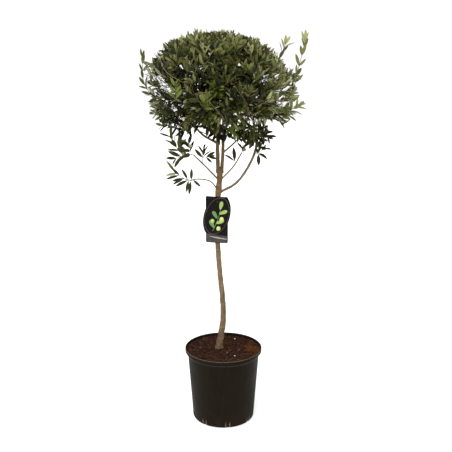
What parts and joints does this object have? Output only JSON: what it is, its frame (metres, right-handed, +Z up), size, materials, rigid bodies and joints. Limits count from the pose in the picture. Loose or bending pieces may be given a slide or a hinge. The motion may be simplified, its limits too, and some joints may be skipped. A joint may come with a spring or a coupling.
{
  "type": "potted standard olive tree",
  "caption": "Young olive tree grown as a standard: a round leafy crown on a bare stem, rooted in a round black nursery pot, with a hanging plant label.",
  "frame": {"origin": "middle of the pot's flat underside, on the ground", "axes": "+Z up along the stem; the front of the tree, where the label hangs, faces -Y"},
  "size_m": [0.5895, 0.5092, 1.4086],
  "materials": {
    "pot_plastic": "satin",
    "potting_soil": "matte",
    "old_bark": "matte",
    "young_bark": "matte",
    "foliage": "satin",
    "young_foliage": "satin",
    "label_print": "gloss",
    "label_strap": "matte"
  },
  "bodies": {
    "root": {"pot": "pot_plastic", "soil": "potting_soil", "trunk": "old_bark", "left_leader": "young_bark", "right_leader": "young_bark", "bough_right_low": "young_bark", "twig_right": "young_bark", "bough_left_low": "young_bark", "twig_left": "young_bark", "bough_right_high": "young_bark", "bough_left_high": "young_bark", "bough_front_left": "young_bark", "bough_back_left": "young_bark", "bough_back_right": "young_bark", "spray_left_low": "young_foliage", "spray_left_mid": "young_foliage", "spray_left_star": "young_foliage", "spray_right_mid": "young_foliage", "spray_right_low": "young_foliage", "foliage_right": "foliage", "foliage_back_right": "foliage", "foliage_back_left": "foliage", "foliage_left": "foliage", "foliage_front_left": "foliage", "foliage_front_right": "foliage", "foliage_top_left": "foliage", "foliage_top_right": "foliage", "label_card": "label_print", "label_strap": "label_strap"}
  },
  "joints": []
}
